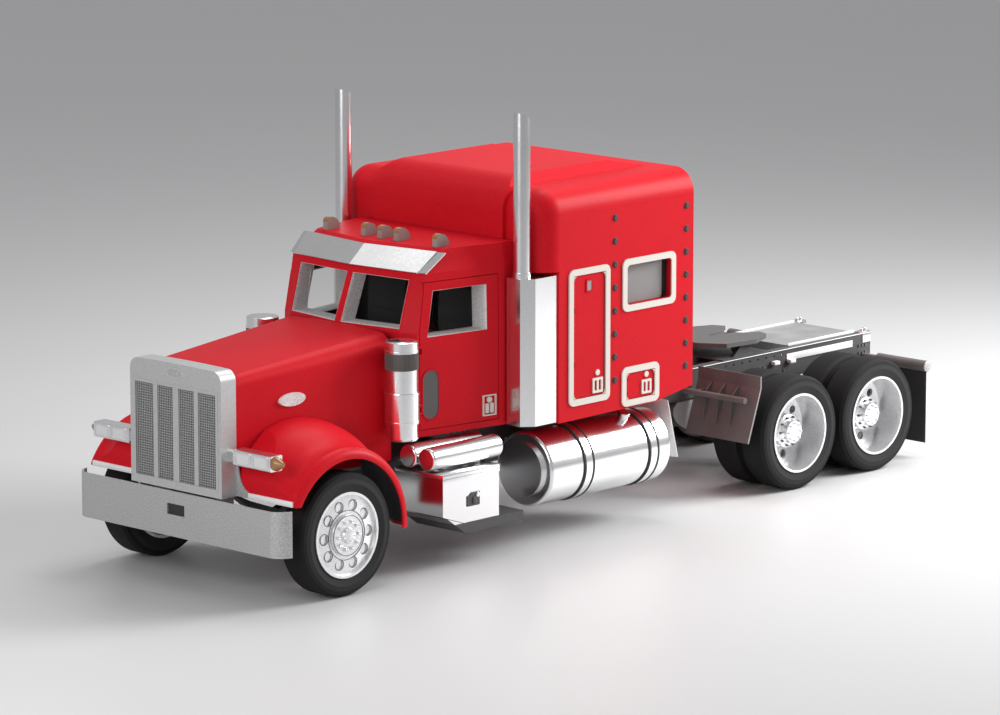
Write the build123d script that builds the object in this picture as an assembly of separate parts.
"""Long-nose semi truck tractor unit, 6x4, with a sleeper: an assembly of separate pieces.

Millimetres. +X is forward, +Y is the driver's side (left), +Z is up. The origin lies on the
ground at mid length. Lengthwise places are stations: millimetres behind the bumper's front
face, turned into X by at(). Sideways places are given for the left side and mirrored.
"""
from build123d import *
from math import cos, pi, radians, sin, sqrt
import os

os.makedirs("parts", exist_ok=True)

# ---------------------------------------------------------------- driving dimensions
FRAME_END = 8520.0        # station of the frame's rear end, which is also the length
FRAME_FRONT = 230.0
FRAME_HALF = 432.0        # half the width over the two rails
RAIL_TOP = 1085.0
RAIL_HEIGHT = 270.0
RAIL_FLANGE = 89.0
RAIL_WALL = 10.0
MOUNT_PAD = 5.0           # rubber under the cab and the sleeper
CROSSMEMBERS = (420.0, 2450.0, 3500.0, 4700.0, 5700.0, 7095.0)   # stations
CROSSMEMBER_LENGTH = 80.0
CROSSMEMBER_HEIGHT = 150.0
BOLT_HOLE = 10.5
HOLE_ROW_START = 6450.0
HOLE_PITCH = 113.0
HOLES_IN_ROW = 8
HOLE_DROP = 47.0          # from the rail's top to the row of holes

TYRE_RADIUS = 521.0
TYRE_HALF_WIDTH = 146.0
BEAD_RADIUS = 350.3
RIM_RADIUS = 362.0
RIM_HALF_WIDTH = 140.0
RIM_WALL = 12.0
FRONT_AXLE = 780.0        # stations of the three axles
DRIVE_AXLES = (6542.0, 7647.0)
FRONT_WHEEL_Y = 1098.0    # mid plane of the steered wheels
DUAL_Y = 943.0            # plane between the twin wheels
DUAL_OFFSET = 170.0       # from that plane to the middle of each tyre
HAND_HOLES = 10
HAND_HOLE_RADIUS = 47.0
HAND_HOLE_CIRCLE = 252.0
AXLE_TUBE = 78.0          # radius of a driven axle's housing
SHAFT_Z = 546.0           # height of the propeller shafts
KINGPIN_Y = 915.0
KINGPIN_RADIUS = 18.0
SPINDLE_RADIUS = 40.0
DRIVE_SPINDLE_RADIUS = 60.0
SEAT_GAP = 0.3            # between pieces that rest on each other
PIN_GAP = 0.4             # running clearance of pins, spindles and seats
REAR_GAP = 10.0           # the same at the far edge of the thick sleeper doors
PANEL_GAP = 6.0           # shut line between a door or hood and what it closes on

BUMPER_BOTTOM = 440.0
BUMPER_TOP = 827.0
BUMPER_FLAT_HALF = 1130.0
BUMPER_HALF = 1255.0
BUMPER_SWEEP = 130.0      # how far back its ends reach
BUMPER_WALL = 12.0
TOW_SLOT = (210.0, 95.0)  # width and height
TOW_SLOT_Z = 672.0

SHELL_FRONT = 10.0        # grille shell
SHELL_BACK = 180.0
SHELL_HALF = 549.0
SHELL_BOTTOM = 842.0
SHELL_TOP = 1903.0
SHELL_CORNER = 95.0
SHELL_WALL = 25.0
GRILLE_HALF = 485.0
GRILLE_BOTTOM = 912.0
GRILLE_TOP = 1703.0
GRILLE_BARS = ((-245.0, 50.0), (0.0, 70.0), (245.0, 50.0))       # (y, width)
MESH_DEPTH = 26.0         # from the shell's front face to the mesh
MESH_WALL = 8.0
HINGE = (62.0, 872.0)     # the hood's pivot: station and height
HINGE_PIN = 12.0
HINGE_ARM_Y = 385.0

HOOD_FRONT_HALF = 547.0
HOOD_FRONT_TOP = 1845.0
HOOD_BACK = 1875.0
HOOD_BACK_HALF = 662.0
HOOD_BACK_TOP = 1996.0
HOOD_BACK_CORNER = 150.0
HOOD_BOTTOM = 900.0
HOOD_WALL = 14.0
FENDER_CENTRE = (785.0, 530.0)
FENDER_FRONT = 184.0
FENDER_FRONT_BOTTOM = 846.0
FENDER_REAR_BOTTOM = 480.0
# the fender's section, turned about the wheel: (y, radius), from the hood to the lip
FENDER_SECTION = ((480.0, 884.0), (760.0, 868.0), (980.0, 772.0), (1195.0, 722.0), (1255.0, 632.0))

CAB_FRONT = 1885.0
CAB_BACK = 3110.0
CAB_BOTTOM = 1090.0
CAB_WALL = 60.0
BELT = 1985.0             # foot of the windshield
HEADER = 2480.0           # head of the windshield
CAB_ROOF = HEADER + 184.0
# half plans of the cab, front to back: (station, y) at the floor, the header and the roof
CAB_PLAN = ((1885.0, 0.0), (1985.0, 662.0), (2052.0, 800.0), (2975.0, 947.0), (3110.0, 950.0))
HEADER_PLAN = ((2078.0, 0.0), (2128.0, 672.0), (2160.0, 800.0), (2975.0, 940.0), (3110.0, 942.0))
ROOF_PLAN = ((2290.0, 0.0), (2388.0, 660.0), (2425.0, 770.0), (2975.0, 905.0), (3110.0, 908.0))

DOOR_FRONT = 2080.0
DOOR_BACK = 2905.0
DOOR_BOTTOM = 1150.0
DOOR_TOP = 2405.0
HINGE_BACK = 14.0         # from a door's front edge to its hinge axis
CAB_HINGE_Y = 814.0
SIDE_HINGE_Y = 1232.0
DOOR_PILLAR_LEAN = 65.0
WINDOW = (2160.0, 2787.0, 1940.0, 2332.0)        # front, back, bottom, top

LAMP_FRONT = 2412.0        # marker lamps on the roof
LAMP_HALF = 27.0
LAMP_PLACES = (-659.0, -196.0, 0.0, 196.0, 659.0)

SLEEPER_FRONT = 3165.0
SLEEPER_BACK = 5088.0
SLEEPER_HALF = 1226.0
SLEEPER_TOP = 3102.0
SLEEPER_FLOOR = ((3165.0, 1075.0), (4593.0, 1090.0), (5088.0, 1171.0))
SLEEPER_WALL = 50.0
ROOF_SEAM = 2880.0           # height where the roof cap meets the walls
REAR_SEAM = 4886.0           # station where the back wall meets the sides
BAND_HALF = 780.0         # the raised middle of the sleeper's roof
BAND_TOP_HALF = 690.0
BAND_RISE = 82.0
BAND_OUT = 45.0           # how far it stands out in front
BAND_FADE = (4540.0, 4950.0)
SIDE_WINDOW = (4157.0, 4845.0, 1942.0, 2405.0)   # outside of its frame
TALL_DOOR = (3472.0, 3992.0, 1203.0, 2395.0)
LOW_DOOR = (4150.0, 4633.0, 1103.0, 1451.0)
TRIM_BAND = 55.0
TRIM_RISE = 14.0

TANK = (3250.0, 4870.0)   # stations of its ends
TANK_RADIUS = 330.0
TANK_Y = 882.0
TANK_Z = 640.0
STRAPS = (3760.0, 4600.0)
STRAP_WIDTH = 115.0
FILLER = 4400.0           # station of the filler neck
STRAP_WALL = 8.0
AIR_TANKS = ((1050.0, 957.0), (830.0, 957.0))    # (y, z)
AIR_TANK_RADIUS = 100.0
AIR_TANK_ENDS = (1900.0, 2750.0)
STEP_BOX = (1950.0, 2634.0, 387.0, 830.0)
STEP_BOX_Y = (620.0, 1200.0)

CLEANER = (1826.0, 842.0) # station and y of the air cleaner's axis
CLEANER_RADIUS = 136.0
CLEANER_Z = (1110.0, 1957.0)
STACK = (3050.0, 1073.0)
STACK_RADIUS = 74.0
STACK_TOP = 3797.0
STACK_MITRE = 0.40        # slope of the cut at its top
SHIELD = (2975.0, 3352.0) # stations of the muffler's guard
SHIELD_Y = (968.0, 1210.0)
SHIELD_Z = (1090.0, 2370.0)
SHIELD_CHAMFER = 100.0

FIFTH_WHEEL = 6750.0
FIFTH_WHEEL_TOP = 1236.0
FIFTH_PIVOT_Z = 1150.0
THROAT = 51.0             # bore that takes a two-inch kingpin
DECK = (7400.0, 8360.0)
QUARTER = (6025.0, 5856.0)
FLAP_STATION = FRAME_END - 115.0
FLAP_Y = (640.0, 1212.0)
HANGER_RADIUS = 52.0
HANGER_Z = 868.0


# ---------------------------------------------------------------- helpers
def at(station):
    """X of a station."""
    return FRAME_END / 2 - station


def block(s0, s1, y0, y1, z0, z1):
    """A box between two stations, two sideways places and two heights."""
    size = (abs(s1 - s0), abs(y1 - y0), abs(z1 - z0))
    return Pos(at((s0 + s1) / 2), (y0 + y1) / 2, (z0 + z1) / 2) * Box(*size)


def side_plate(points, y0, y1):
    """A plate between y0 and y1 with an outline of (station, z) points."""
    face = Plane.XZ * make_face(Polyline(*[(at(s), z) for s, z in points], close=True))
    return Pos(0, y1, 0) * extrude(face, amount=y1 - y0)


def rod_y(station, y0, y1, z, radius):
    """A round bar across the vehicle."""
    return Pos(at(station), (y0 + y1) / 2, z) * Rot(90, 0, 0) * Cylinder(radius, y1 - y0)


def rod_x(s0, s1, y, z, radius):
    """A round bar along the vehicle."""
    return Pos(at((s0 + s1) / 2), y, z) * Rot(0, 90, 0) * Cylinder(radius, abs(s1 - s0))


def rod_z(station, y, z0, z1, radius):
    """An upright round bar."""
    return Pos(at(station), y, (z0 + z1) / 2) * Cylinder(radius, z1 - z0)


def mirrored(shape):
    """The same piece on the other side."""
    return mirror(shape, about=Plane.XZ)


def both(shape):
    """The left piece and its mirror image, as one node."""
    return Compound(children=[*solids_of(shape), *solids_of(mirrored(shape))])


def solids_of(shape):
    return list(shape.solids())


def side_rect(frame, inset=0.0, corner=60.0):
    """A rounded rectangle on the side of the vehicle: frame is (front, back, bottom, top)."""
    s0, s1, z0, z1 = frame
    wide, high = s1 - s0 - 2 * inset, z1 - z0 - 2 * inset
    sketch = RectangleRounded(wide, high, max(corner - inset, 12.0))
    return Plane.XZ * Pos(at((s0 + s1) / 2), (z0 + z1) / 2) * sketch


def side_prism(frame, y0, y1, inset=0.0, corner=60.0):
    """That rectangle as a solid from y0 to y1."""
    return Pos(0, y1, 0) * extrude(side_rect(frame, inset, corner), amount=y1 - y0)


def save(shape, name):
    """Write a node."""
    export_step(shape, f"parts/{name}.step")


def hinge(station, y, z, radius, reach, depth):
    """A small hinge on the left side: (the fixed lugs with their pin, the door's barrel)."""
    pin = rod_z(station, y, z - 45, z + 45, radius * 0.5)
    fixed = pin
    for z0, z1 in ((z - 45, z - 26), (z + 26, z + 45)):
        fixed += rod_z(station, y, z0, z1, radius)
        fixed += block(station - reach, station, y - radius * 0.7, y + radius * 0.7, z0, z1)
    barrel = rod_z(station, y, z - 25, z + 25, radius)
    barrel += block(station, station + 14, y - depth, y, z - 25, z + 25)
    barrel -= rod_z(station, y, z - 30, z + 30, radius * 0.5 + 0.1)
    return fixed, barrel


# ---------------------------------------------------------------- frame
def frame():
    """Two channel rails with the hood's hinge arms, then the crossmembers and the end beam."""
    rail_bottom = RAIL_TOP - RAIL_HEIGHT
    inner = FRAME_HALF - RAIL_WALL
    rail = block(FRAME_FRONT, FRAME_END - 60, FRAME_HALF - RAIL_FLANGE, FRAME_HALF, rail_bottom, RAIL_TOP)
    rail -= block(FRAME_FRONT - 1, FRAME_END, 0, inner, rail_bottom + RAIL_WALL, RAIL_TOP - RAIL_WALL)
    row = [rod_y(HOLE_ROW_START + i * HOLE_PITCH, inner - 5, FRAME_HALF + 5, RAIL_TOP - HOLE_DROP, BOLT_HOLE)
           for i in range(HOLES_IN_ROW)]
    rail -= row
    arm = block(HINGE[0], FRAME_FRONT + 120, HINGE_ARM_Y, HINGE_ARM_Y + 36.0, HINGE[1] - 20, HINGE[1] + 20)
    arm += rod_y(HINGE[0], HINGE_ARM_Y, HINGE_ARM_Y + 36.0, HINGE[1], 20)
    arm += rod_y(HINGE[0], HINGE_ARM_Y, HINGE_ARM_Y + 95.0, HINGE[1], HINGE_PIN)
    web = block(FRAME_FRONT, FRAME_FRONT + 120, HINGE_ARM_Y, inner + 1, rail_bottom + 1, HINGE[1])
    left = rail + arm + web
    for station in (2010, 2960, 3230, 4950):
        left += block(station, station + 90, FRAME_HALF - 80, FRAME_HALF - 5,
                      RAIL_TOP - 1, RAIL_TOP + MOUNT_PAD)
    beams = [left, mirrored(left)]
    reach = inner - SEAT_GAP
    low = rail_bottom + (RAIL_HEIGHT - CROSSMEMBER_HEIGHT) / 2
    high = low + CROSSMEMBER_HEIGHT
    for station in CROSSMEMBERS:
        beam = block(station, station + CROSSMEMBER_LENGTH, -reach, reach, low, high)
        beam -= block(station + RAIL_WALL, station + CROSSMEMBER_LENGTH + 1, -reach + 20, reach - 20,
                      low + RAIL_WALL, high - RAIL_WALL)
        beams.append(beam)
    beams.append(block(FRAME_END - 60 + SEAT_GAP, FRAME_END, -FRAME_HALF, FRAME_HALF,
                       rail_bottom + 60, RAIL_TOP - 60))
    return Compound(children=beams)


def bumper():
    """A bent plate on two brackets, with the slot for the tow pin."""
    wide, back = BUMPER_HALF, BUMPER_SWEEP
    half = [(0, 0), (0, BUMPER_FLAT_HALF)]
    outer = Polyline(*[(at(s), y) for s, y in half])
    start = outer @ 1
    bend = ThreePointArc(start, (at(back * 0.3), (BUMPER_FLAT_HALF + wide) / 2 + 12), (at(back), wide))
    inner_end = (at(back + 6), wide - BUMPER_WALL)
    inner_bend = ThreePointArc(inner_end, (at(back * 0.3 + BUMPER_WALL), (BUMPER_FLAT_HALF + wide) / 2 + 2),
                               (at(BUMPER_WALL), BUMPER_FLAT_HALF))
    close = Polyline(inner_bend @ 1, (at(BUMPER_WALL), 0), (at(0), 0))
    face = make_face([outer.edges(), bend, Line(bend @ 1, inner_end), inner_bend, close.edges()])
    left = Pos(0, 0, BUMPER_BOTTOM) * extrude(face, amount=BUMPER_TOP - BUMPER_BOTTOM)
    plate = left + mirrored(left)
    slot = Pos(at(BUMPER_WALL / 2), 0, TOW_SLOT_Z) * Box(40, *TOW_SLOT)
    plate -= slot
    pocket = block(BUMPER_WALL, 90, -TOW_SLOT[0] / 2 - 10, TOW_SLOT[0] / 2 + 10,
                   TOW_SLOT_Z - TOW_SLOT[1] / 2 - 10, TOW_SLOT_Z + TOW_SLOT[1] / 2 + 10)
    pocket -= block(0, 80, -TOW_SLOT[0] / 2, TOW_SLOT[0] / 2,
                    TOW_SLOT_Z - TOW_SLOT[1] / 2, TOW_SLOT_Z + TOW_SLOT[1] / 2)
    plate += pocket
    rail_bottom = RAIL_TOP - RAIL_HEIGHT
    back = BUMPER_WALL + SEAT_GAP
    bracket = side_plate([(back, 560), (back, 800), (FRAME_FRONT, rail_bottom), (285, rail_bottom),
                          (285, rail_bottom - 70)], FRAME_HALF - 60, FRAME_HALF - 30)
    return Compound(children=[plate, bracket, mirrored(bracket)])


def engine():
    """The engine as one plain block, with the radiator in front of it."""
    block_of_iron = block(620, 1840, -325, 325, 780, 1640)
    radiator = block(250, 340, -440, 440, RAIL_TOP + SEAT_GAP, 1790)
    neck = block(340 + SEAT_GAP, 621, -120, 120, 1250, 1450)
    return Compound(children=[block_of_iron + neck, radiator])


# ---------------------------------------------------------------- axles and suspension
def front_axle():
    """A dropped I-beam with kingpin eyes, on two leaf springs."""
    eye_half = 58.0
    beam = block(FRONT_AXLE - 45, FRONT_AXLE + 45, -560, 560, 400, 500)
    beam -= block(FRONT_AXLE - 46, FRONT_AXLE - 20, -540, 540, 425, 475)
    beam -= block(FRONT_AXLE + 20, FRONT_AXLE + 46, -540, 540, 425, 475)
    goose = Plane.YZ.offset(at(FRONT_AXLE + 45)) * make_face(
        Polyline((540, 400), (640, 400), (KINGPIN_Y - 40, 470), (KINGPIN_Y - 40, 570), (720, 560), (540, 500),
                 close=True))
    goose = extrude(goose, amount=90)
    eye = rod_z(FRONT_AXLE, KINGPIN_Y, TYRE_RADIUS - eye_half, TYRE_RADIUS + eye_half, 42)
    arm = goose + eye
    arm -= rod_z(FRONT_AXLE, KINGPIN_Y, TYRE_RADIUS - 100, TYRE_RADIUS + 100, KINGPIN_RADIUS + PIN_GAP)
    pieces = [beam + arm + mirrored(arm)]
    spring_y = FRAME_HALF - 45
    for side in (-1, 1):
        y0, y1 = side * spring_y - 45, side * spring_y + 45
        leaves = side_plate([(300, 790), (420, 700), (FRONT_AXLE, 560), (1140, 700), (1300, 790), (1300, 815),
                             (1120, 745), (FRONT_AXLE, 620), (440, 745), (300, 815)], y0, y1)
        seat = block(FRONT_AXLE - 80, FRONT_AXLE + 80, y0 - 8, y1 + 8, 500 + SEAT_GAP, 575)
        pieces.append(leaves + seat)
    return Compound(children=pieces)


def spring_arm(station, y):
    """One trailing arm with its hanger and air spring, cut to sit on the axle tube."""
    rail_bottom = RAIL_TOP - RAIL_HEIGHT
    arm = side_plate([(station - 420, 700), (station - 420, 760), (station - 60, 640),
                      (station + 320, 600), (station + 320, 560), (station - 60, 580)], y - 40, y + 40)
    hanger = side_plate([(station - 470, rail_bottom), (station - 370, rail_bottom),
                         (station - 380, 690), (station - 450, 690)], y - 44, y + 44)
    bag = rod_z(station + 250, y, 590, rail_bottom - PIN_GAP, 105)
    return arm + hanger + bag - rod_y(station, -620, 620, TYRE_RADIUS, AXLE_TUBE + SEAT_GAP)


def drive_axles():
    """Two driven axles with their gear cases, shafts, the spring arms and air springs."""
    reach = DUAL_Y + 205
    pieces = []
    for station in DRIVE_AXLES:
        tube = rod_y(station, -620, 620, TYRE_RADIUS, AXLE_TUBE)
        spindle = rod_y(station, -reach, reach, TYRE_RADIUS, DRIVE_SPINDLE_RADIUS)
        case = Pos(at(station), 0, TYRE_RADIUS) * Sphere(205)
        nose = Pos(at(station - 190), 0, SHAFT_Z) * Rot(0, 90, 0) * Cylinder(95, 260)
        pieces.append(tube + spindle + case + nose)
        pieces.append(spring_arm(station, FRAME_HALF - 45))
        pieces.append(spring_arm(station, 45 - FRAME_HALF))
    first, second = DRIVE_AXLES
    pieces.append(rod_x(first + 205, second - 320 - SEAT_GAP, 0, SHAFT_Z, 45))
    pieces.append(rod_x(2760 + SEAT_GAP, first - 320 - SEAT_GAP, 0, SHAFT_Z, 48))
    pieces.append(block(2100, 2760, -190, 190, 480, 760))
    return Compound(children=pieces)


def knuckle():
    """Left steering knuckle: kingpin, fork, spindle and brake back plate."""
    pin = rod_z(FRONT_AXLE, KINGPIN_Y, TYRE_RADIUS - 112, TYRE_RADIUS + 112, KINGPIN_RADIUS)
    body = pin
    for z0, z1 in ((-110, -63), (63, 110)):
        body += rod_z(FRONT_AXLE, KINGPIN_Y, TYRE_RADIUS + z0, TYRE_RADIUS + z1, 44)
        body += block(FRONT_AXLE - 40, FRONT_AXLE + 40, KINGPIN_Y, KINGPIN_Y + 78,
                      TYRE_RADIUS + z0, TYRE_RADIUS + z1)
    body += block(FRONT_AXLE - 50, FRONT_AXLE + 50, KINGPIN_Y + 52, KINGPIN_Y + 84,
                  TYRE_RADIUS - 110, TYRE_RADIUS + 110)
    body += rod_y(FRONT_AXLE, KINGPIN_Y + 84, KINGPIN_Y + 100, TYRE_RADIUS, 205)
    body += rod_y(FRONT_AXLE, KINGPIN_Y + 84, FRONT_WHEEL_Y + 60, TYRE_RADIUS, SPINDLE_RADIUS)
    return body


# ---------------------------------------------------------------- wheels
def spun(points, station):
    """A body of revolution about an axle: points are (y, radius)."""
    face = Plane.XY * make_face(Polyline(*points, close=True))
    ring = revolve(face, axis=Axis.X, revolution_arc=360)
    return Pos(at(station), 0, TYRE_RADIUS) * Rot(0, 0, 90) * ring


def tyre(station, y):
    """A smooth tyre: crowned tread, round shoulders, bulging side walls."""
    w = TYRE_HALF_WIDTH
    crown, shoulder, bead = w - 42, w - 12, w - 22
    outline = [(-bead, BEAD_RADIUS), (-w, 430), (-shoulder, 500), (-crown, TYRE_RADIUS - 1), (0, TYRE_RADIUS),
               (crown, TYRE_RADIUS - 1), (shoulder, 500), (w, 430), (bead, BEAD_RADIUS)]
    return spun([(y + dy, r) for dy, r in outline], station)


def front_rim():
    """Left front wheel disc and rim, nearly flush, with ten round dimples and a hub cap."""
    y, half, wall = FRONT_WHEEL_Y, RIM_HALF_WIDTH, RIM_WALL
    face_y = y + half - 26
    bore = SPINDLE_RADIUS + PIN_GAP
    points = [(y - half, RIM_RADIUS), (y - half + wall, RIM_RADIUS), (y - half + wall, BEAD_RADIUS - 0.3),
              (y + half - wall, BEAD_RADIUS - 0.3), (y + half - wall, RIM_RADIUS), (y + half, RIM_RADIUS),
              (y + half, 340), (face_y, 332), (face_y + 14, 210), (face_y + 14, 172), (face_y + 34, 168),
              (face_y + 34, 70), (y + half + 34, 62), (y + half + 40, 0), (y + 70, 0), (y + 70, bore),
              (y - 50, bore), (y - 50, 78), (face_y - 10, 120), (face_y - 10, 200), (face_y - 18, 320),
              (y - half, 338)]
    rim = spun(points, FRONT_AXLE)
    for i in range(HAND_HOLES):
        turn = 2 * pi * i / HAND_HOLES
        station = FRONT_AXLE + HAND_HOLE_CIRCLE * cos(turn)
        z = TYRE_RADIUS + HAND_HOLE_CIRCLE * sin(turn)
        rim -= rod_y(station, face_y - 3, face_y + 60, z, HAND_HOLE_RADIUS)
    return rim


def dual_rim(station):
    """Left twin rims on one hub: deep-dished outside, hand holes through both discs."""
    y, off, half, wall = DUAL_Y, DUAL_OFFSET, RIM_HALF_WIDTH, RIM_WALL
    bore = DRIVE_SPINDLE_RADIUS + PIN_GAP
    in0, in1 = y - off - half, y - off + half
    out0, out1 = y + off - half, y + off + half
    lip, seat, skin = RIM_RADIUS, BEAD_RADIUS - 0.3, 338
    points = [(in0, lip), (in0 + wall, lip), (in0 + wall, seat), (in1 - wall, seat), (in1 - wall, lip),
              (in1, lip), (in1, skin), (y - 14, 300), (y - 14, 180), (y + 14, 180), (y + 14, 300),
              (out0, skin),
              (out0, lip), (out0 + wall, lip), (out0 + wall, seat), (out1 - wall, seat), (out1 - wall, lip),
              (out1, lip), (out1, skin + 4), (out0 + 20, skin - 10), (y + 40, 290), (y + 34, 172),
              (y + 60, 168),
              (y + 70, 118), (y + 236, 104), (y + 244, 0), (y + 214, 0), (y + 214, bore), (y - 250, bore),
              (y - 250, 112), (y - 40, 120), (y - 40, 290), (in1 - 20, skin - 10), (in0, skin)]
    rim = spun(points, station)
    for i in range(HAND_HOLES):
        turn = 2 * pi * i / HAND_HOLES
        s = station + HAND_HOLE_CIRCLE * cos(turn)
        z = TYRE_RADIUS + HAND_HOLE_CIRCLE * sin(turn)
        rim -= rod_y(s, y - 60, y + 70, z, HAND_HOLE_RADIUS - 8)
    return rim


# ---------------------------------------------------------------- hood, grille and lamps
def hood_section(station, half, top, corner, bottom, inset=0.0):
    """A section across the hood: flat sides and a top with round corners."""
    h, t, r = half - inset, top - inset, max(corner - inset, 20.0)
    crown = 14.0
    right = Line((h, bottom), (h, t - r))
    corner_r = ThreePointArc((h, t - r), (h - r + r * cos(pi / 4), t - r + r * sin(pi / 4)), (h - r, t))
    roof = ThreePointArc((h - r, t), (0, t + crown), (-h + r, t))
    corner_l = ThreePointArc((-h + r, t), (-h + r - r * cos(pi / 4), t - r + r * sin(pi / 4)), (-h, t - r))
    left = Line((-h, t - r), (-h, bottom))
    floor = Line((-h, bottom), (h, bottom))
    return Plane.YZ.offset(at(station)) * make_face([right, corner_r, roof, corner_l, left, floor])


def fender_disc(inset, y_end):
    """The fender's form turned about the wheel, filled in to the axle."""
    start, shoulder, waist, lip, edge = [(y, r - inset) for y, r in FENDER_SECTION]
    lip = (lip[0] - inset * 0.7, lip[1])
    edge = (edge[0] - inset, FENDER_SECTION[-1][1])
    crest = ThreePointArc(start, (shoulder[0], shoulder[1]), waist)
    sweep = TangentArc(waist, lip, tangent=crest % 1)
    rim = ThreePointArc(lip, (lip[0] + 0.72 * (edge[0] - lip[0]), lip[1] - 0.30 * (lip[1] - edge[1])), edge)
    ends = [(y_end, edge[1]), (y_end, 0)] if inset else [(edge[0], 0)]
    rest = Polyline(edge, *ends, (start[0], 0), start)
    face = Plane.XY * make_face([crest, sweep, rim, *rest.edges()])
    turned = revolve(face, axis=Axis.X, revolution_arc=360)
    return Pos(at(FENDER_CENTRE[0]), 0, FENDER_CENTRE[1]) * Rot(0, 0, 90) * turned


def fender_side(inset, drop):
    """The fender seen from the side: what lies behind its front and above its lower edges."""
    front = FENDER_FRONT + inset
    points = [(front, FENDER_FRONT_BOTTOM - drop), (front + 8, 1010 - inset * 0.3),
              (front + 60, 1130 - inset * 0.6), (front + 150, 1240 - inset), (front + 330, 1400),
              (1200, 1500), (1760, 1500),
              (1760, FENDER_REAR_BOTTOM - drop), (FENDER_CENTRE[0], FENDER_REAR_BOTTOM - drop),
              (FENDER_CENTRE[0], FENDER_FRONT_BOTTOM - drop)]
    return side_plate(points, 400, 1300)


def nose_volume(inset, drop, reach):
    """The hood between the fenders: outside with no inset, inside with the wall as inset."""
    front = SHELL_BACK + SEAT_GAP - reach
    low = HOOD_BOTTOM - drop
    return loft([hood_section(front, HOOD_FRONT_HALF, HOOD_FRONT_TOP, SHELL_CORNER, low, inset),
                 hood_section(HOOD_BACK + reach, HOOD_BACK_HALF, HOOD_BACK_TOP, HOOD_BACK_CORNER,
                              low, inset)], ruled=True)


def hood():
    """A tapering nose with a fender panel on each side, the wheel arches open."""
    nose = nose_volume(0.0, 0.0, 0.0) - nose_volume(HOOD_WALL, 400.0, 2.0)
    fender = fender_disc(0.0, FENDER_SECTION[-1][0]) & fender_side(0.0, 0.0)
    fender -= fender_disc(HOOD_WALL, 1400.0) & fender_side(HOOD_WALL, 60.0)
    fender -= nose_volume(-SEAT_GAP, 0.0, 400.0)
    fender -= block(0, 2200, -640, 640, 400, HOOD_BOTTOM)
    return nose, fender


def shell_outline(inset=0.0):
    """The grille shell seen from the front: upright sides, round upper corners."""
    h, top, r = SHELL_HALF - inset, SHELL_TOP - inset, SHELL_CORNER - inset * 0.5
    bottom = SHELL_BOTTOM
    half = sqrt(0.5) * r
    edges = [Line((-h, bottom), (h, bottom)), Line((h, bottom), (h, top - r)),
             ThreePointArc((h, top - r), (h - r + half, top - r + half), (h - r, top)),
             ThreePointArc((h - r, top), (0, top + 6), (-h + r, top)),
             ThreePointArc((-h + r, top), (-h + r - half, top - r + half), (-h, top - r)),
             Line((-h, top - r), (-h, bottom))]
    return make_face(edges)


def across(face, s0, s1):
    """A front outline carried from station s0 back to s1."""
    return extrude(Plane.YZ.offset(at(s1)) * face, amount=s1 - s0)


def grille_shell():
    """A bright surround, open behind and below, with the hood's hinge lugs."""
    shell = across(shell_outline(), SHELL_FRONT, SHELL_BACK)
    shell -= across(shell_outline(SHELL_WALL), SHELL_FRONT + SHELL_WALL, SHELL_BACK + 5)
    inner = SHELL_HALF - SHELL_WALL
    shell -= block(SHELL_FRONT + SHELL_WALL, SHELL_BACK + 5, -inner, inner,
                   SHELL_BOTTOM - 5, SHELL_BOTTOM + 100)
    shell -= block(SHELL_FRONT - 5, SHELL_FRONT + SHELL_WALL + 5, -GRILLE_HALF, GRILLE_HALF,
                   GRILLE_BOTTOM, GRILLE_TOP)
    flange = across(shell_outline(HOOD_WALL + 2 + SEAT_GAP), SHELL_BACK - 5, SHELL_BACK + 25)
    flange -= across(shell_outline(HOOD_WALL + 10), SHELL_BACK - 6, SHELL_BACK + 26)
    flange &= block(100, 300, -600, 600, SHELL_BOTTOM + 80, 1700)
    shell += flange
    lug_y = HINGE_ARM_Y + 44
    lug = block(SHELL_FRONT + SHELL_WALL - 1, HINGE[0], lug_y, lug_y + 22, HINGE[1] - 24, HINGE[1] + 24)
    lug += rod_y(HINGE[0], lug_y, lug_y + 22, HINGE[1], 24)
    lug -= rod_y(HINGE[0], lug_y - 5, lug_y + 30, HINGE[1], HINGE_PIN + PIN_GAP)
    return shell + lug + mirrored(lug)


def grille_core():
    """Three upright bars in front of a mesh panel."""
    back = SHELL_FRONT + MESH_DEPTH
    wide = GRILLE_HALF + 12
    core = block(back, back + MESH_WALL, -wide, wide, GRILLE_BOTTOM - 12, GRILLE_TOP + 12)
    core -= block(back - 1, back + 3.2, -wide - 1, wide + 1, GRILLE_BOTTOM - 13, GRILLE_BOTTOM)
    return core


def grille_bars():
    bars = None
    back = SHELL_FRONT + MESH_DEPTH
    for y, width in GRILLE_BARS:
        bar = block(SHELL_FRONT + 2, back, y - width / 2, y + width / 2, GRILLE_BOTTOM, GRILLE_TOP)
        bars = bar if bars is None else bars + bar
    return bars


def lamp_pod():
    """Left headlamp pod: an arm, a twin housing and the turn signal's cone."""
    arm = block(85, 150, SHELL_HALF, 640, 1150, 1240)
    pod = block(63, 200, 630, 1070, 1135, 1266)
    pod = fillet(pod.edges().filter_by(Axis.Y), 12)
    on_base = (Align.CENTER, Align.CENTER, Align.MIN)
    cone = Pos(at(132), 1070, 1200) * Rot(-90, 0, 0) * Cone(58, 22, 80, align=on_base)
    return arm + pod + cone


# ---------------------------------------------------------------- cab
def plan_face(points, z):
    """A level section from a half plan of (station, y) points and its mirror image."""
    left = [(at(s), y) for s, y in points]
    right = [(at(s), -y) for s, y in reversed(points[1:])]
    return Plane.XY.offset(z) * make_face(Polyline(*left, *right, close=True))


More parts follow.
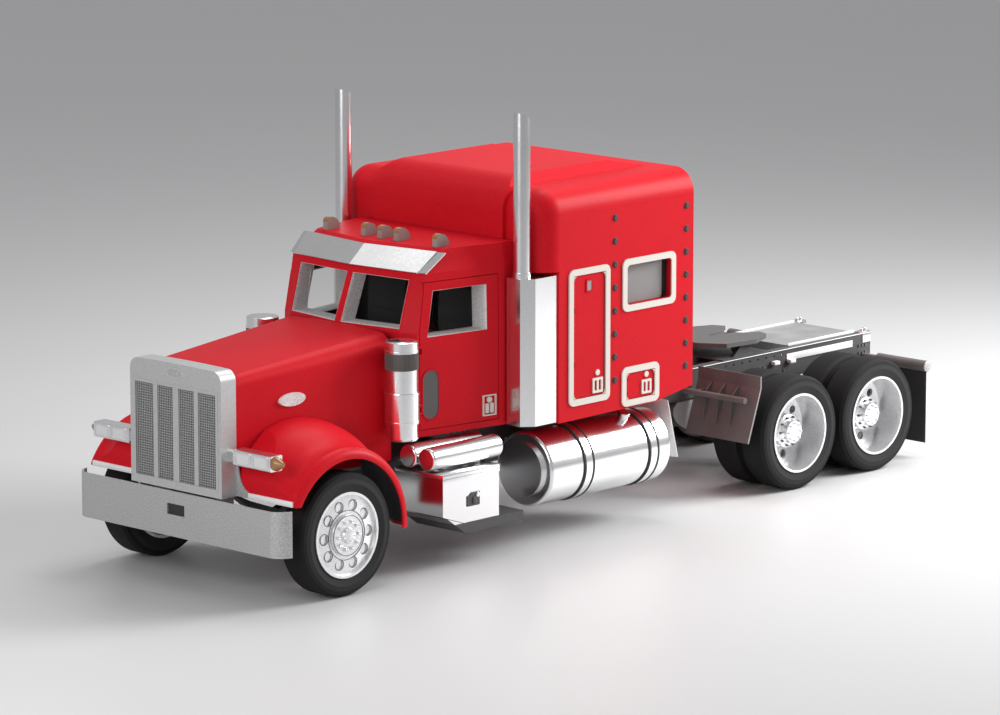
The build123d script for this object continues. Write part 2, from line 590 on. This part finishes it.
def inset_plan(points, wall):
    """The same half plan moved inwards by the wall: front, side and back."""
    (s0, _), (s1, y1), (s2, y2), (s3, y3), (s4, y4) = points
    return ((s0 + wall, 0), (s1 + wall, y1 - wall * 0.45), (s2 + wall * 0.6, y2 - wall),
            (s3, y3 - wall), (s4 - wall, y4 - wall))


def cab_volume(wall):
    """The cab's outer form, or with a wall its inside."""
    plan = CAB_PLAN if not wall else inset_plan(CAB_PLAN, wall)
    header = HEADER_PLAN if not wall else inset_plan(HEADER_PLAN, wall)
    roof = ROOF_PLAN if not wall else inset_plan(ROOF_PLAN, wall)
    floor_z, roof_z = CAB_BOTTOM + wall, CAB_ROOF - wall
    lower = extrude(plan_face(plan, floor_z), amount=BELT - floor_z)
    middle = loft([plan_face(plan, BELT), plan_face(header, HEADER)], ruled=True)
    upper = loft([plan_face(header, HEADER), plan_face(roof, roof_z)], ruled=True)
    return lower + middle + upper


def door_prism(grow):
    """What the left door is cut out with: its outline from the side, through the wall."""
    s0, s1 = DOOR_FRONT - grow, DOOR_BACK + grow
    z0, z1 = DOOR_BOTTOM - grow, DOOR_TOP + grow
    lean = DOOR_PILLAR_LEAN
    return side_plate([(s0, z0), (s1, z0), (s1, z1), (s0 + lean, z1), (s0, BELT)], 640, 1100)


def door_window():
    s0, s1, z0, z1 = WINDOW
    return side_plate([(s0, z0), (s1, z0), (s1, z1), (s0 + DOOR_PILLAR_LEAN, z1)], 600, 1100)


def windshield_cut():
    """The left half of the windshield, cut through the front wall."""
    face = Plane.YZ.offset(at(2400)) * make_face(
        Polyline((36, 2013), (648, 2013), (652, 2421), (34, 2421), close=True))
    return extrude(face, amount=2400 - 1800)


def cab_parts():
    """The hollow cab, split into its shell and the left door."""
    outer = cab_volume(0.0)
    hollow = cab_volume(CAB_WALL)
    whole = outer - hollow
    screen = windshield_cut()
    whole -= screen
    whole -= mirrored(screen)
    whole -= block(CAB_BACK - CAB_WALL - 5, CAB_BACK + 5, -420, 420, CAB_BOTTOM + 200, 2300)
    door = whole & door_prism(0.0)
    door -= door_window()
    gap = door_prism(PANEL_GAP)
    shell = whole - gap - mirrored(gap)
    for z in (1330.0, 1830.0):
        fixed, barrel = hinge(DOOR_FRONT + HINGE_BACK, CAB_HINGE_Y, z, 8.0, 30.0, 16.0)
        y0, y1 = CAB_HINGE_Y - 30, CAB_HINGE_Y + 5
        post = block(DOOR_FRONT - 20, DOOR_FRONT - PANEL_GAP, y0, y1, z - 45, z - 26)
        post += block(DOOR_FRONT - 20, DOOR_FRONT - PANEL_GAP, y0, y1, z + 26, z + 45)
        fixed = (fixed + post) - block(DOOR_FRONT - 60, DOOR_FRONT - 20, 700, 900, z - 60, z + 60)
        shell = shell + fixed + mirrored(fixed)
        door = door - rod_z(DOOR_FRONT + HINGE_BACK, CAB_HINGE_Y, z - 47, z + 47, 10.0) + barrel
    return shell, door


def leaning_plate(corners, thickness):
    """A flat plate on four corners given as (station, y, z), thickened to the front."""
    base = [Vector(at(s), y, z) for s, y, z in corners]
    normal = (base[1] - base[0]).cross(base[3] - base[0]).normalized()
    if normal.X < 0:
        normal = normal * -1
    plane = Plane(origin=base[0], z_dir=normal)
    local = [plane.to_local_coords(p) for p in base]
    face = plane * make_face(Polyline(*[(p.X, p.Y) for p in local], close=True))
    return extrude(face, amount=thickness)


def visor():
    """A bright plate over the windshield, folded in the middle and turned back at its ends."""
    low, high = HEADER + 4, CAB_ROOF - 24
    left = leaning_plate([(2050, 0, low), (2121, 742, low), (2324, 783, high), (2234, 0, high)], 9)
    left += leaning_plate([(2118.7, 736.5, low), (2150, 812, low), (2352, 850, high),
                           (2321.7, 777.5, high)], 9)
    for y in (60.0, 400.0, 700.0):
        lean = y * 0.108
        profile = [(2055 + lean, low + 8), (2219 + lean, high - 9), (2330 + lean, high - 40),
                   (2200 + lean, low + 8)]
        left += side_plate(profile, y, y + 10) - cab_volume(-SEAT_GAP)
    return left + mirrored(left)


def roof_lights():
    """Five marker lamps along the front of the roof, upright in front and falling to the rear."""
    front, low = LAMP_FRONT, CAB_ROOF + SEAT_GAP
    points = [(0, 0), (0, 76), (14, 100), (48, 110), (118, 82), (150, 14), (150, 0)]
    (a, b, c, d, e, f, g) = [(at(front + back), low + up) for back, up in points]
    edges = [Line(a, b), ThreePointArc(b, c, d), ThreePointArc(d, e, f), Line(f, g), Line(g, a)]
    lamps = []
    for y in LAMP_PLACES:
        lamps.append(Pos(0, y + LAMP_HALF, 0) * extrude(Plane.XZ * make_face(edges), amount=2 * LAMP_HALF))
    return Compound(children=lamps)


def dashboard():
    """Dashboard with the steering column and wheel on the driver's side."""
    floor = CAB_BOTTOM + CAB_WALL
    desk = side_plate([(2075, floor + 330), (2090, 1930), (2300, 1925), (2420, 1780), (2420, 1600),
                       (2330, floor + 330)], -690, 690)
    desk += side_plate([(2060, floor), (2300, floor), (2330, floor + 340), (2075, floor + 340)], -640, 640)
    tilt = -32.0
    hub = Pos(at(2560), 430, 1850) * Rot(0, tilt, 0)
    rim = hub * Torus(215, 16)
    column = Pos(at(2560), 430, 1850) * Rot(0, tilt, 0) * Pos(0, 0, -120) * Cylinder(28, 230)
    spoke = hub * Box(40, 415, 14) + hub * Box(415, 40, 14)
    return desk + column + rim + spoke


def seats():
    """Two seats on pedestals and the bunk across the sleeper."""
    floor = CAB_BOTTOM + CAB_WALL
    made = []
    for y in (-430, 430):
        base = block(2650, 2950, y - 150, y + 150, floor, 1480)
        cushion = block(2560, 3040, y - 240, y + 240, 1480, 1600)
        cushion = fillet(cushion.edges(), 30)
        back = side_plate([(2900, 1590), (3030, 1590), (3030, 2150), (2960, 2250), (2890, 2230)],
                          y - 230, y + 230)
        made.append(base + cushion + back)
    return Compound(children=made)


def bunk():
    floor = 1171 + SLEEPER_WALL
    return block(4250, SLEEPER_BACK - SLEEPER_WALL - SEAT_GAP, -1150, 1150, floor + 260, floor + 620)


# ---------------------------------------------------------------- sleeper
def sleeper_volume(wall):
    """The sleeper's outer form, or with a wall its inside."""
    front, back = SLEEPER_FRONT + wall, SLEEPER_BACK - wall
    half, top = SLEEPER_HALF - wall, SLEEPER_TOP - wall
    floor = [(s, z + wall) for s, z in SLEEPER_FLOOR]
    floor[0] = (front, floor[0][1])
    floor[-1] = (back, floor[-1][1])
    box = side_plate([*floor, (back, top), (front, top)], -half, half)
    top_edges = box.edges().group_by(Axis.Z)[-1]
    box = fillet(top_edges.filter_by(Axis.X), 215 - wall)
    box = fillet(box.edges().filter_by(Axis.Z).group_by(Axis.X)[-1], 200 - wall)
    return box


def band_volume():
    """The raised middle of the roof, rounded over the front and fading to the rear."""
    front, top = SLEEPER_FRONT - BAND_OUT, SLEEPER_TOP + BAND_RISE
    fade, end = BAND_FADE
    radius = 300.0
    cut = radius * (1 - sqrt(0.5))
    edges = [Line((at(front), 1300), (at(front), top - radius)),
             ThreePointArc((at(front), top - radius), (at(front + cut), top - cut),
                           (at(front + radius), top)),
             Line((at(front + radius), top), (at(fade), top)),
             Line((at(fade), top), (at(end), SLEEPER_TOP)),
             Line((at(end), SLEEPER_TOP), (at(end), 2900)),
             Line((at(end), 2900), (at(3600), 1300)),
             Line((at(3600), 1300), (at(front), 1300))]
    band = Pos(0, BAND_HALF, 0) * extrude(Plane.XZ * make_face(edges), amount=2 * BAND_HALF)
    lean = Plane.YZ.offset(at(end + 20)) * make_face(Polyline(
        (BAND_TOP_HALF, top + 1), (BAND_HALF + 1, top + 1), (BAND_HALF + 1, SLEEPER_TOP), close=True))
    lean = extrude(lean, amount=end - front + 40)
    return band - lean - mirrored(lean)


def muffler_recess(grow):
    """Room for the muffler in the sleeper's front corner."""
    return block(2900, SHIELD[1] + SEAT_GAP + grow, SHIELD_Y[0] - 18 - grow, 1400,
                 900, SHIELD_Z[1] + 30 + grow)


def hinge_heights(frame_box):
    """Heights of a sleeper door's two hinges."""
    low, high = frame_box[2], frame_box[3]
    return (low + 0.3 * (high - low), low + 0.7 * (high - low))


def sleeper_parts():
    """The sleeper's shell and its left side doors."""
    notch, notch_in = muffler_recess(0.0), muffler_recess(SLEEPER_WALL)
    outer = sleeper_volume(0.0) + band_volume() - notch - mirrored(notch)
    hollow = sleeper_volume(SLEEPER_WALL) - notch_in - mirrored(notch_in)
    whole = outer - hollow
    whole -= block(3000, 5200, -FRAME_HALF - 8, FRAME_HALF + 8, 1000, RAIL_TOP + MOUNT_PAD)
    opening = side_prism(SIDE_WINDOW, 1100, 1300, inset=TRIM_BAND)
    whole -= opening
    whole -= mirrored(opening)
    whole -= block(SLEEPER_FRONT - BAND_OUT - 5, SLEEPER_FRONT + SLEEPER_WALL + 5, -420, 420,
                   CAB_BOTTOM + 200, 2300)
    doors = []
    for frame_box in (TALL_DOOR, LOW_DOOR):
        opening = side_prism(frame_box, 1100, 1300, inset=TRIM_BAND)
        s0, s1, z0, z1 = frame_box
        smaller = (s0 + PANEL_GAP, s1 - REAR_GAP, z0 + PANEL_GAP, z1 - PANEL_GAP)
        door = whole & side_prism(smaller, 1100, 1300, inset=TRIM_BAND)
        for z in hinge_heights(frame_box):
            station = s0 + TRIM_BAND + PANEL_GAP + HINGE_BACK
            door -= rod_z(station, SIDE_HINGE_Y, z - 47, z + 47, 7.0)
            door += hinge(station, SIDE_HINGE_Y, z, 5.5, 25.0, 10.0)[1]
        doors.append(door)
        whole = whole - opening - mirrored(opening)
    return sleeper_panels(whole), doors


def sleeper_panels(whole):
    """The sleeper's shell along its real seams: roof, back, front, floor and two sides."""
    wide, gap = SLEEPER_HALF + 10, SEAT_GAP / 2
    inside = SLEEPER_HALF - SLEEPER_WALL
    front, back = SLEEPER_FRONT - BAND_OUT - 10, SLEEPER_BACK + 10
    side_front = SHIELD[1] + SLEEPER_WALL + 20
    roof = whole & block(front, back, -wide, wide, ROOF_SEAM + gap, 3200)
    below = whole - block(front, back, -wide, wide, ROOF_SEAM - gap, 3200)
    rear = below & block(REAR_SEAM + gap, back, -wide, wide, 1000, 3000)
    nose = below & block(front, side_front - gap, -wide, wide, 1000, 3000)
    middle = below & block(side_front + gap, REAR_SEAM - gap, -wide, wide, 1000, 3000)
    left = middle & block(front, back, inside + gap, wide, 1000, 3000)
    floor = middle & block(front, back, gap - inside, inside - gap, 1000, 3000)
    return Compound(children=[roof, rear, nose, floor, left, mirrored(left)])


def side_frames():
    """Raised bands round the sleeper's left window and doors."""
    rings = []
    for frame_box in (SIDE_WINDOW, TALL_DOOR, LOW_DOOR):
        ring = side_prism(frame_box, SLEEPER_HALF + 0.3, SLEEPER_HALF + TRIM_RISE)
        ring -= side_prism(frame_box, SLEEPER_HALF - 5, SLEEPER_HALF + TRIM_RISE + 5, inset=TRIM_BAND)
        if frame_box is not SIDE_WINDOW:
            for z in hinge_heights(frame_box):
                station = frame_box[0] + TRIM_BAND + PANEL_GAP + HINGE_BACK
                ring += hinge(station, SIDE_HINGE_Y, z, 5.5, 25.0, 10.0)[0]
        rings.append(ring)
    return Compound(children=rings)


def glass():
    """Windshield panes and the sleeper's side windows."""
    shell_inner = cab_volume(34.0)
    pane_zone = cab_volume(28.0) - shell_inner
    cut = windshield_cut() & block(1800, 2390, 34, 654, 2010, 2424)
    left = pane_zone & cut
    side = side_prism(SIDE_WINDOW, SLEEPER_HALF - 28, SLEEPER_HALF - 22, inset=TRIM_BAND + 0.3)
    return both(left + side)


def door_glass():
    """The pane of the left cab door."""
    return (cab_volume(28.0) - cab_volume(34.0)) & door_window()


# ---------------------------------------------------------------- along the frame
def fuel_tank():
    """Left fuel tank: a drum with shallow domed ends and a filler."""
    s0, s1 = TANK
    dome = 34.0
    tank = rod_x(s0 + dome, s1 - dome, TANK_Y, TANK_Z, TANK_RADIUS)
    tank = fillet(tank.edges().filter_by(GeomType.CIRCLE), 30)
    tank += rod_x(s0, s1, TANK_Y, TANK_Z, TANK_RADIUS * 0.72)
    filler = Pos(at(FILLER), TANK_Y + 130, TANK_Z + 300) * Rot(-25, 0, 0) * Cylinder(48, 90)
    return tank + filler


def tank_straps():
    """Bands round the left tank and the brackets that hang it on the frame."""
    made = None
    for station in STRAPS:
        band = rod_x(station - STRAP_WIDTH / 2, station + STRAP_WIDTH / 2, TANK_Y, TANK_Z,
                     TANK_RADIUS + PIN_GAP + STRAP_WALL)
        cradle = block(station - 40, station + 40, FRAME_HALF + PIN_GAP, TANK_Y - 60, 300, RAIL_TOP - 60)
        piece = band + cradle
        piece -= rod_x(station - 90, station + 90, TANK_Y, TANK_Z, TANK_RADIUS + PIN_GAP)
        made = piece if made is None else made + piece
    return made


def air_tanks():
    """Two air reservoirs over the step box, left side."""
    s0, s1 = AIR_TANK_ENDS
    made = []
    for y, z in AIR_TANKS:
        tank = rod_x(s0, s1, y, z, AIR_TANK_RADIUS)
        made.append(fillet(tank.edges().filter_by(GeomType.CIRCLE), 22))
    saddle = block(2100, 2160, FRAME_HALF + PIN_GAP, 1050, 846, 880)
    saddle += block(2500, 2560, FRAME_HALF + PIN_GAP, 1050, 846, 880)
    return made[0] + made[1] + saddle


def step_box():
    """Left battery and step box with its lid, and the step below and behind it."""
    s0, s1, z0, z1 = STEP_BOX
    y0, y1 = STEP_BOX_Y
    box = side_plate([(s0, z1), (s0, z0 + 85), (s0 + 254, z0), (s1, z0), (s1, z1)], y0, y1)
    box -= block(s0 - 5, s1 + 5, y1 - 6, y1 + 5, z1 - 16, z1 - 10)
    hanger = block(s0 + 300, s0 + 330, FRAME_HALF + SEAT_GAP, y0 + 20, z1 - 130, z1 + 170)
    hanger += block(s0 + 490, s0 + 520, FRAME_HALF + SEAT_GAP, y0 + 20, z1 - 130, z1 + 170)
    step = side_plate([(s0 + 60, z0 + 60), (s0 + 254, z0 - 5), (s1 + 306, z0 - 5), (s1 + 306, z0 - 95),
                       (s0 + 280, z0 - 95)], y0, y1 - 2)
    riser = block(s1 - 120, s1 - 20, y0 + 60, y0 + 120, z0 - 6, z0 + 5)
    return box + hanger + step + riser


def air_cleaner():
    """Left air cleaner: a canister with a dark intake band, cap and clamp."""
    s, y = CLEANER
    z0, z1 = CLEANER_Z
    can = rod_z(s, y, z0, z1 - 85, CLEANER_RADIUS)
    can = fillet(can.edges().filter_by(GeomType.CIRCLE).group_by(Axis.Z)[0], 30)
    can += rod_z(s, y, z1 - 85, z1, CLEANER_RADIUS + 6)
    clamp = rod_z(s, y, 1262, 1525, CLEANER_RADIUS + 12)
    (s0, y0), (s1, y1) = CAB_PLAN[1:3]
    reach = PIN_GAP + 0.3
    skin = s0 + (704 - y0) * (s1 - s0) / (y1 - y0)
    plan = [(s + 40, 704), (skin - reach, 704), (s1 - 12 - reach, y1 - 25), (s + 40, y1 - 25)]
    face = Plane.XY.offset(1262) * make_face(Polyline(*[(at(a), b) for a, b in plan], close=True))
    foot = extrude(face, amount=263)
    return can + clamp + foot


def stack():
    """Left exhaust stack, cut on a slope."""
    s, y = STACK
    tube = rod_z(s, y, SHIELD_Z[1] - 60, STACK_TOP, STACK_RADIUS)
    tube -= rod_z(s, y, STACK_TOP - 700, STACK_TOP + 1, STACK_RADIUS - 5)
    low = STACK_TOP - 2 * STACK_RADIUS * STACK_MITRE
    cut = side_plate([(s - STACK_RADIUS, STACK_TOP), (s + STACK_RADIUS, low), (s + 120, low),
                      (s + 120, STACK_TOP + 50), (s - STACK_RADIUS, STACK_TOP + 50)], y - 120, y + 120)
    return tube - cut + rod_z(s, y, SHIELD_Z[1], SHIELD_Z[1] + 50, STACK_RADIUS + 7)


def shield():
    """Left muffler and its bright guard, a box with one corner cut, on a frame outrigger."""
    s0, s1 = SHIELD
    y0, y1 = SHIELD_Y
    z0, z1 = SHIELD_Z
    plan = [(s0, y0), (s0, y1 - SHIELD_CHAMFER * 0.85), (s0 + SHIELD_CHAMFER, y1), (s1, y1), (s1, y0)]
    face = Plane.XY.offset(z0) * make_face(Polyline(*[(at(s), y) for s, y in plan], close=True))
    guard = extrude(face, amount=z1 - z0)
    return guard


# ---------------------------------------------------------------- rear of the frame
def quarter_fender():
    """Left guard ahead of the drive wheels, with three ribs and its tube."""
    top, low = QUARTER
    y0, y1 = 470.0, 1222.0
    wall = 10.0
    plate = side_plate([(top, 1108), (top, 998), (low, 517), (low + wall, 517), (top + wall, 998),
                        (top + wall, 1108)], y0, y1)
    for y in (640.0, 800.0, 960.0):
        plate += side_plate([(top + 1, 1000), (top - 115, 905), (low + 40, 640)], y, y + 12)
    plate += rod_y(top - 150, FRAME_HALF + PIN_GAP, 1165, 900, 28)
    plate += block(top - 150, top + 2, 560, 590, 880, 920)
    return plate


def hanger():
    """Left mudflap hanger: a tube out from the frame with a cap."""
    tube = rod_y(FLAP_STATION, FRAME_HALF + PIN_GAP, FLAP_Y[1], HANGER_Z, HANGER_RADIUS - 22)
    tube += rod_y(FLAP_STATION, FLAP_Y[0] - 10, FLAP_Y[1], HANGER_Z, HANGER_RADIUS)
    return tube


def mudflap():
    """Left flap behind the last axle, hung under its hanger."""
    return block(FLAP_STATION - 14, FLAP_STATION + 14, FLAP_Y[0], FLAP_Y[1],
                 145, HANGER_Z - HANGER_RADIUS - PIN_GAP)


def deck():
    """Speckled plate between the rails behind the fifth wheel."""
    s0, s1 = DECK
    return block(s0, s1, -FRAME_HALF + 70, FRAME_HALF - 70, RAIL_TOP + PIN_GAP, RAIL_TOP + 8)


def fifth_base():
    """Pedestals and cross plate that carry the fifth wheel."""
    s = FIFTH_WHEEL
    base = block(s - 330, s + 330, -FRAME_HALF, FRAME_HALF, RAIL_TOP + PIN_GAP, RAIL_TOP + 12)
    for side in (-1, 1):
        y = side * 370
        base += side_plate([(s - 150, RAIL_TOP + 10), (s - 45, FIFTH_PIVOT_Z + 36),
                            (s + 45, FIFTH_PIVOT_Z + 36), (s + 150, RAIL_TOP + 10)], y - 20, y + 20)
        base += rod_y(s, y - 62 if side > 0 else y - 20, y + 20 if side > 0 else y + 62, FIFTH_PIVOT_Z, 22)
    return base


def fifth_plate():
    """The coupling plate: round front, two ramps and the throat for the kingpin."""
    s, top = FIFTH_WHEEL, FIFTH_WHEEL_TOP
    wall = 40.0
    outline = [(-400, -170), (-400, 170), (-250, 400), (120, 440), (380, 330), (430, 210), (300, 150),
               (250, 70), (60, THROAT / 2), (60, -THROAT / 2), (250, -70), (300, -150), (430, -210),
               (380, -330), (120, -440), (-250, -400)]
    points = [(at(s + ds), y) for ds, y in outline]
    face = Plane.XY.offset(top - wall) * make_face(Polyline(*points, close=True))
    plate = extrude(face, amount=wall)
    plate -= rod_z(s, 0, top - 100, top + 5, THROAT / 2)
    plate -= block(s, s + 70, -THROAT / 2, THROAT / 2, top - 100, top + 5)
    for side in (-1, 1):
        y = side * 310
        lug = side_plate([(s - 90, top - wall + 1), (s - 38, FIFTH_PIVOT_Z - 34),
                          (s + 38, FIFTH_PIVOT_Z - 34), (s + 90, top - wall + 1)], y - 25, y + 25)
        lug -= rod_y(s, y - 40, y + 40, FIFTH_PIVOT_Z, 22 + PIN_GAP)
        plate += lug
    return plate


# ---------------------------------------------------------------- write every node
cab_shell, door = cab_parts()
sleeper_shell, (tall_door, low_door) = sleeper_parts()

save(frame(), "frame")
save(bumper(), "bumper")
save(engine(), "engine")
save(front_axle(), "front_axle")
save(drive_axles(), "drive_axles")
save(step_box() + mirrored(step_box()), "step_boxes")
save(both(fuel_tank()), "fuel_tanks")
save(both(tank_straps()), "tank_straps")
save(air_tanks(), "air_tanks")
save(both(air_cleaner()), "air_cleaners")
save(both(stack() + shield()), "exhausts")
save(both(quarter_fender()), "quarter_fenders")
save(both(hanger()), "mudflap_hangers")
save(both(mudflap()), "mudflaps")
save(deck(), "rear_deck")
save(fifth_base(), "fifth_wheel_base")
save(fifth_plate(), "fifth_wheel_plate")
save(cab_shell, "cab_shell")
save(sleeper_shell, "sleeper_shell")
save(glass(), "cab_glass")
save(visor(), "sun_visor")
save(roof_lights(), "roof_lights")
save(dashboard(), "dashboard")
save(Compound(children=[*solids_of(seats()), *solids_of(bunk())]), "seats_and_bunk")
save(both(side_frames()), "side_frames")
nose, fender = hood()
save(Compound(children=[nose, fender, mirrored(fender)]), "hood")
save(grille_shell() + grille_bars(), "grille_shell")
save(grille_core(), "grille_mesh")
save(both(lamp_pod()), "headlamp_pods")
for side, turn in (("left", lambda piece: piece), ("right", mirrored)):
    save(turn(door), f"cab_door_{side}")
    save(turn(door_glass()), f"door_glass_{side}")
    save(turn(tall_door), f"tall_door_{side}")
    save(turn(low_door), f"low_door_{side}")
    save(turn(knuckle()), f"knuckle_{side}")
    save(turn(tyre(FRONT_AXLE, FRONT_WHEEL_Y)), f"front_tyre_{side}")
    save(turn(front_rim()), f"front_rim_{side}")
    for number, station in enumerate(DRIVE_AXLES, 1):
        pair = Compound(children=[tyre(station, DUAL_Y - DUAL_OFFSET), tyre(station, DUAL_Y + DUAL_OFFSET)])
        save(turn(pair), f"drive_tyres_{number}_{side}")
        save(turn(dual_rim(station)), f"drive_rims_{number}_{side}")
